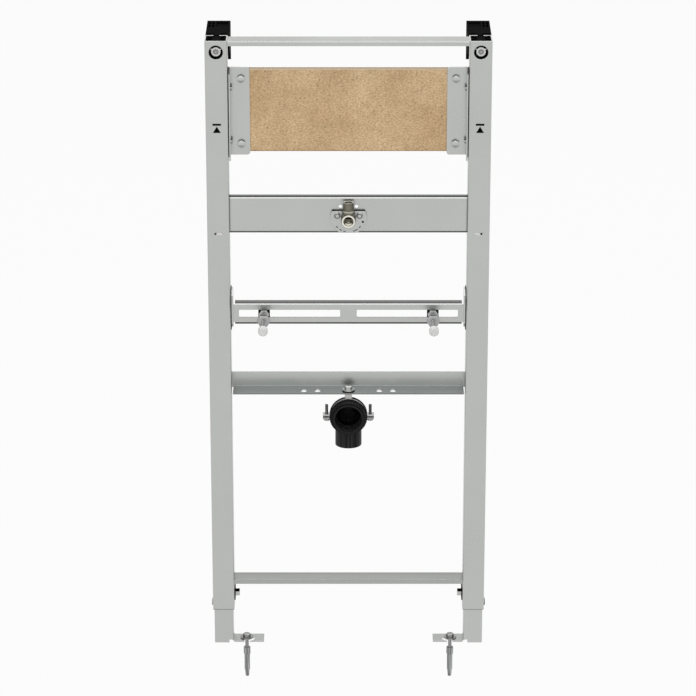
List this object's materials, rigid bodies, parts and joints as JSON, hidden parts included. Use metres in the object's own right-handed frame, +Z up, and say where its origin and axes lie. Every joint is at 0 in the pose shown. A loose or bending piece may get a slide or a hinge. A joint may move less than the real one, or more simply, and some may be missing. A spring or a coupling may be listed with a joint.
{
  "type": "urinal installation frame",
  "caption": "Free-standing steel frame that carries a wall-hung urinal, with telescoping feet, wall arms, a water inlet elbow, bowl studs and a clamped waste bend.",
  "frame": {"origin": "floor level, midway between the two floor screws", "axes": "+X to the right seen from the front, +Y to the wall behind, +Z up"},
  "size_m": [0.5252, 0.2305, 1.279],
  "materials": {
    "frame_coat": "smooth semi-matt grey coat",
    "zinc": "bright zinc plate",
    "arm_plastic": "fine grained black moulding",
    "black_plastic": "satin black moulding",
    "white_plastic": "smooth white moulding",
    "plug_plastic": "plain grey moulding",
    "board_wood": "pressed wood board",
    "elbow_nickel": "warm nickel plate on brass",
    "seal_rubber": "black rubber"
  },
  "bodies": {
    "frame": {"arm_screws": "zinc", "board_bolts": "zinc", "board_pads": "black_plastic", "bottom_rail": "frame_coat", "bracket_screws": "zinc", "clamp_lining": "seal_rubber", "clamp_lower": "zinc", "clamp_screws": "zinc", "clamp_upper": "zinc", "fixing_clamps": "frame_coat", "fixing_pads": "black_plastic", "fixing_rail": "frame_coat", "fixing_screws": "zinc", "foot_brakes": "plug_plastic", "hanger_bolt": "zinc", "hanger_seat": "seal_rubber", "index_clips": "white_plastic", "inlet_elbow": "elbow_nickel", "inlet_plate": "zinc", "inlet_rail": "frame_coat", "inlet_screws": "zinc", "left_board_bracket": "frame_coat", "left_post": "frame_coat", "lock_bolts": "zinc", "lock_plates": "black_plastic", "mounting_board": "board_wood", "post_caps": "arm_plastic", "right_board_bracket": "frame_coat", "right_post": "frame_coat", "slide_plates": "black_plastic", "stud_caps": "white_plastic", "stud_nuts": "zinc", "studs": "zinc", "top_rail": "frame_coat", "waste_bend": "black_plastic", "waste_rail": "frame_coat", "waste_seal": "seal_rubber"},
    "left_leg": {"left_foot": "frame_coat", "left_floor_screw": "zinc", "left_floor_plug": "plug_plastic"},
    "right_leg": {"right_foot": "frame_coat", "right_floor_screw": "zinc", "right_floor_plug": "plug_plastic"},
    "left_arm": {"left_wall_arm": "arm_plastic"},
    "right_arm": {"right_wall_arm": "arm_plastic"}
  },
  "joints": [
    {"name": "left_leg_slide", "type": "slide", "parent": "frame", "child": "left_leg", "axis": [0, 0, -1], "range_m": [-0.055, 0.13]},
    {"name": "right_leg_slide", "type": "slide", "parent": "frame", "child": "right_leg", "axis": [0, 0, -1], "range_m": [-0.055, 0.13]},
    {"name": "left_arm_slide", "type": "slide", "parent": "frame", "child": "left_arm", "axis": [0, 1, 0], "range_m": [0, 0.02]},
    {"name": "right_arm_slide", "type": "slide", "parent": "frame", "child": "right_arm", "axis": [0, 1, 0], "range_m": [0, 0.02]}
  ]
}
